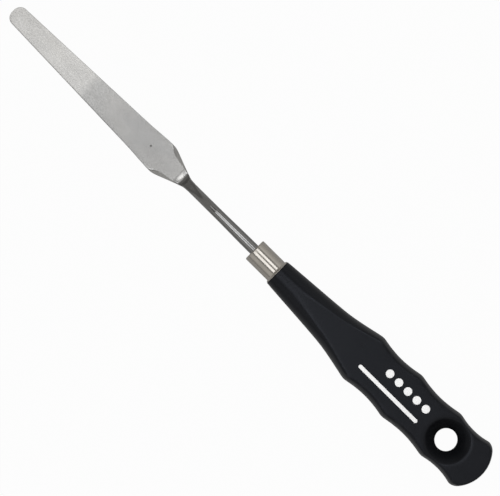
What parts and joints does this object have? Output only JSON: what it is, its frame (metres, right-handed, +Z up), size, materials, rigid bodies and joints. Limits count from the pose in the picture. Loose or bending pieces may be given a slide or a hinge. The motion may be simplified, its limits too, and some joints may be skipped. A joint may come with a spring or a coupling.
{
  "type": "palette knife",
  "caption": "Cranked artist's palette knife: narrow round-ended steel blade, ferrule, and a black scalloped handle with a hang hole.",
  "frame": {"origin": "middle of the knife's length and width, at the height of the underside of the blade", "axes": "+X along the knife towards the tip of the blade, +Y across it, +Z up, away from the blade's underside and towards the shank's side of the crank"},
  "size_m": [0.2344, 0.0204, 0.0158],
  "materials": {
    "blade_steel": "satin ground",
    "ferrule_plate": "warm nickel plate, semi-gloss",
    "handle_plastic": "satin black, finely textured"
  },
  "bodies": {
    "root": {"blade": "blade_steel", "ferrule": "ferrule_plate", "handle": "handle_plastic"}
  },
  "joints": []
}
